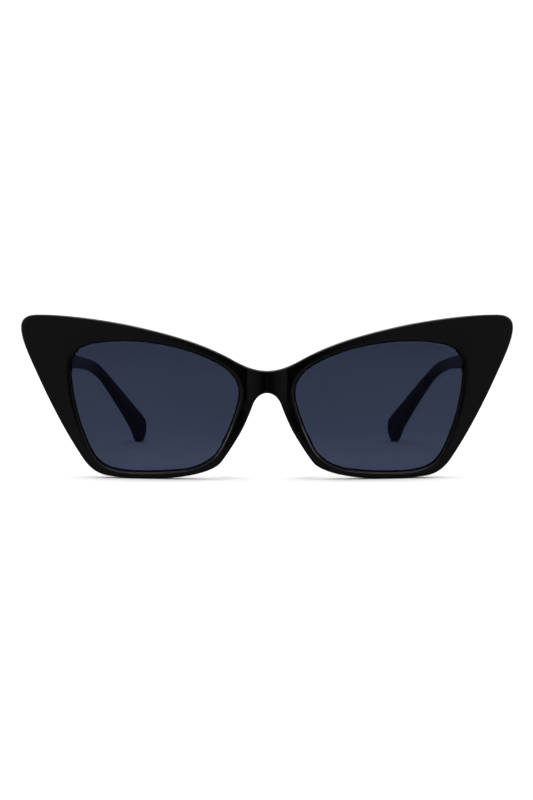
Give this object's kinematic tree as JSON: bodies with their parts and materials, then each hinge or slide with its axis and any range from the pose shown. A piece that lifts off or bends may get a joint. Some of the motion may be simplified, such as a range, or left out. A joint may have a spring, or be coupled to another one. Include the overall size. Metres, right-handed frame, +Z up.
{
  "type": "cat eye sunglasses",
  "caption": "Cat eye sunglasses with a wrapped gloss front, upswept wings, tinted lenses, flared nose pads and slim folding temples with dropped ear pieces.",
  "frame": {"origin": "middle of the footprint, on the table the sunglasses stand on", "axes": "+X to the wearer's left, across the front; +Y back along the temples, so the front faces -Y; +Z up"},
  "size_m": [0.15, 0.138, 0.0492],
  "materials": {
    "frame": "polished",
    "temple": "polished",
    "nose_pad": "polished",
    "lens": "polished, solid tint",
    "hinge": "satin",
    "screw": "bright",
    "core": "satin"
  },
  "bodies": {
    "front": {"frame_front": "frame", "lens_left": "lens", "nose_pad_left": "nose_pad", "front_hinge_left": "hinge", "hinge_screw_left": "screw", "front_leaf_screw_upper_left": "screw", "front_leaf_screw_lower_left": "screw", "lens_right": "lens", "nose_pad_right": "nose_pad", "front_hinge_right": "hinge", "hinge_screw_right": "screw", "front_leaf_screw_upper_right": "screw", "front_leaf_screw_lower_right": "screw"},
    "left_temple": {"temple_left": "temple", "temple_core_left": "core", "temple_hinge_left": "hinge", "temple_leaf_screw_front_left": "screw", "temple_leaf_screw_rear_left": "screw"},
    "right_temple": {"temple_right": "temple", "temple_core_right": "core", "temple_hinge_right": "hinge", "temple_leaf_screw_front_right": "screw", "temple_leaf_screw_rear_right": "screw"}
  },
  "joints": [
    {"name": "left_temple_hinge", "type": "hinge", "parent": "front", "child": "left_temple", "pos_m": [0.0629, -0.04975, 0.0368], "axis": [0, 0, 1], "range_deg": [0, 85]},
    {"name": "right_temple_hinge", "type": "hinge", "parent": "front", "child": "right_temple", "pos_m": [-0.0629, -0.04975, 0.0368], "axis": [0, 0, -1], "range_deg": [0, 79]}
  ]
}
